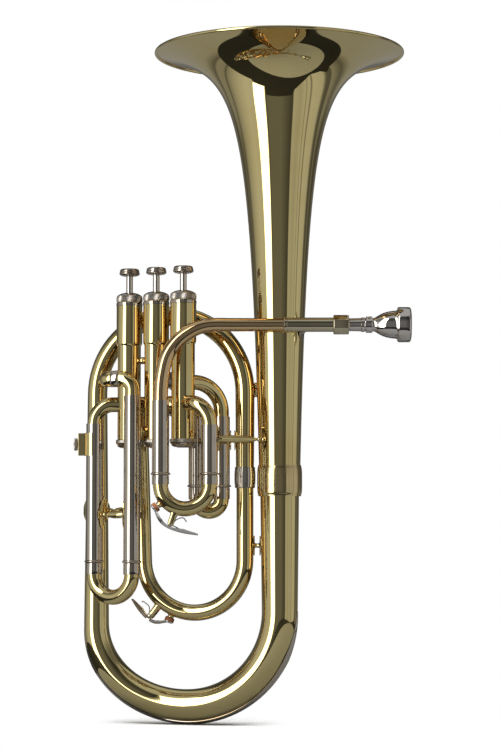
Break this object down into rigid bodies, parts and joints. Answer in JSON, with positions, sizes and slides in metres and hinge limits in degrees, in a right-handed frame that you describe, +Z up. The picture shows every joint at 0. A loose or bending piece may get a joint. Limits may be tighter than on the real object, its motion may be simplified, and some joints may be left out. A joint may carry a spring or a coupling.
{
  "type": "alto horn",
  "caption": "Upright alto horn: flared bell on conical bows, piston valves, pull-out tuning slides, sprung water keys, leadpipe and cup mouthpiece.",
  "frame": {"origin": "under the middle of the horn's overall box, level with the lowest point of the bow guard", "axes": "+Z up from the bottom bow to the bell, +X towards the mouthpiece, -Y the side that the leadpipe runs along"},
  "size_m": [0.2738, 0.205, 0.55],
  "materials": {
    "lacquered_brass": "lacquered and polished",
    "rose_brass": "lacquered and polished",
    "nickel": "polished nickel",
    "silver_plate": "polished silver plate",
    "spring_steel": "drawn wire",
    "cork": "matte cork"
  },
  "bodies": {
    "horn": {"bell": "lacquered_brass", "bell_ferrule": "lacquered_brass", "bottom_bow": "lacquered_brass", "top_bow": "lacquered_brass", "inner_loop": "lacquered_brass", "slide_1_elbow_side": "lacquered_brass", "slide_1_elbow_back": "lacquered_brass", "slide_3_elbow_low": "lacquered_brass", "slide_3_elbow_high": "lacquered_brass", "tuning_elbow": "lacquered_brass", "knuckle_1_2": "lacquered_brass", "knuckle_2_3": "lacquered_brass", "lyre_holder": "lacquered_brass", "brace_tuning_bell": "lacquered_brass", "brace_slide_3_valve": "lacquered_brass", "brace_slide_1_branch": "lacquered_brass", "brace_branch_bell": "lacquered_brass", "brace_loop_bell": "lacquered_brass", "brace_slide_3": "lacquered_brass", "brace_left_leg": "lacquered_brass", "valve_1_casing": "lacquered_brass", "valve_2_casing": "lacquered_brass", "valve_3_casing": "lacquered_brass", "leadpipe": "rose_brass", "bow_guard": "nickel", "branch_ferrule": "nickel", "mouthpiece_receiver": "nickel", "tuning_sleeve_left": "nickel", "tuning_sleeve_right": "nickel", "slide_1_sleeve_left": "nickel", "slide_1_sleeve_right": "nickel", "slide_2_sleeve_high": "nickel", "slide_2_sleeve_low": "nickel", "slide_3_sleeve_left": "nickel", "slide_3_sleeve_right": "nickel", "valve_1_top_cap": "nickel", "valve_1_bottom_cap": "nickel", "valve_2_top_cap": "nickel", "valve_2_bottom_cap": "nickel", "valve_3_top_cap": "nickel", "valve_3_bottom_cap": "nickel", "valve_1_spring": "spring_steel", "valve_2_spring": "spring_steel", "valve_3_spring": "spring_steel"},
    "valve_1": {"valve_1_piston": "nickel", "valve_1_button": "silver_plate"},
    "valve_2": {"valve_2_piston": "nickel", "valve_2_button": "silver_plate"},
    "valve_3": {"valve_3_piston": "nickel", "valve_3_button": "silver_plate"},
    "tuning_slide": {"tuning_slide": "lacquered_brass"},
    "first_slide": {"slide_1": "lacquered_brass"},
    "second_slide": {"slide_2": "lacquered_brass"},
    "third_slide": {"slide_3": "lacquered_brass"},
    "tuning_key": {"tuning_key_lever": "silver_plate", "tuning_key_cork": "cork"},
    "loop_key": {"loop_key_lever": "silver_plate", "loop_key_cork": "cork"},
    "mouthpiece": {"mouthpiece": "silver_plate"},
    "lyre_screw": {"lyre_screw": "nickel"}
  },
  "joints": [
    {"name": "valve_1_press", "type": "slide", "parent": "horn", "child": "valve_1", "axis": [0, 0, -1], "range_m": [0, 0.0133], "stiffness_N_per_m": 110, "springref_m": -0.02, "deforming": ["valve_1_spring"]},
    {"name": "valve_2_press", "type": "slide", "parent": "horn", "child": "valve_2", "axis": [0, 0, -1], "range_m": [0, 0.0133], "stiffness_N_per_m": 110, "springref_m": -0.02, "deforming": ["valve_2_spring"]},
    {"name": "valve_3_press", "type": "slide", "parent": "horn", "child": "valve_3", "axis": [0, 0, -1], "range_m": [0, 0.0133], "stiffness_N_per_m": 110, "springref_m": -0.02, "deforming": ["valve_3_spring"]},
    {"name": "tuning_slide_pull", "type": "slide", "parent": "horn", "child": "tuning_slide", "axis": [0, 0, -1], "range_m": [0, 0.022]},
    {"name": "first_slide_pull", "type": "slide", "parent": "horn", "child": "first_slide", "axis": [0, 0, -1], "range_m": [0, 0.035]},
    {"name": "second_slide_pull", "type": "slide", "parent": "horn", "child": "second_slide", "axis": [0.4384, 0.8988, 0], "range_m": [0, 0.012]},
    {"name": "third_slide_pull", "type": "slide", "parent": "horn", "child": "third_slide", "axis": [0, 0, -1], "range_m": [0, 0.055]},
    {"name": "tuning_key_press", "type": "hinge", "parent": "tuning_slide", "child": "tuning_key", "pos_m": [-0.05575, -0.029, 0.1634], "axis": [0, -1, 0], "range_deg": [0, 12], "stiffness_Nm_per_rad": 0.1, "springref_deg": -17.19},
    {"name": "loop_key_press", "type": "hinge", "parent": "horn", "child": "loop_key", "pos_m": [-0.07371, 0.02451, 0.088], "axis": [0.2571, 0.9664, 0], "range_deg": [0, 12], "stiffness_Nm_per_rad": 0.1, "springref_deg": -17.19},
    {"name": "mouthpiece_pull", "type": "slide", "parent": "horn", "child": "mouthpiece", "axis": [1, 0, 0], "range_m": [0, 0.019]},
    {"name": "lyre_screw_turn", "type": "hinge", "parent": "horn", "child": "lyre_screw", "pos_m": [-0.13, 0.0105, 0.22775], "axis": [-1, 0, 0], "continuous": true}
  ]
}
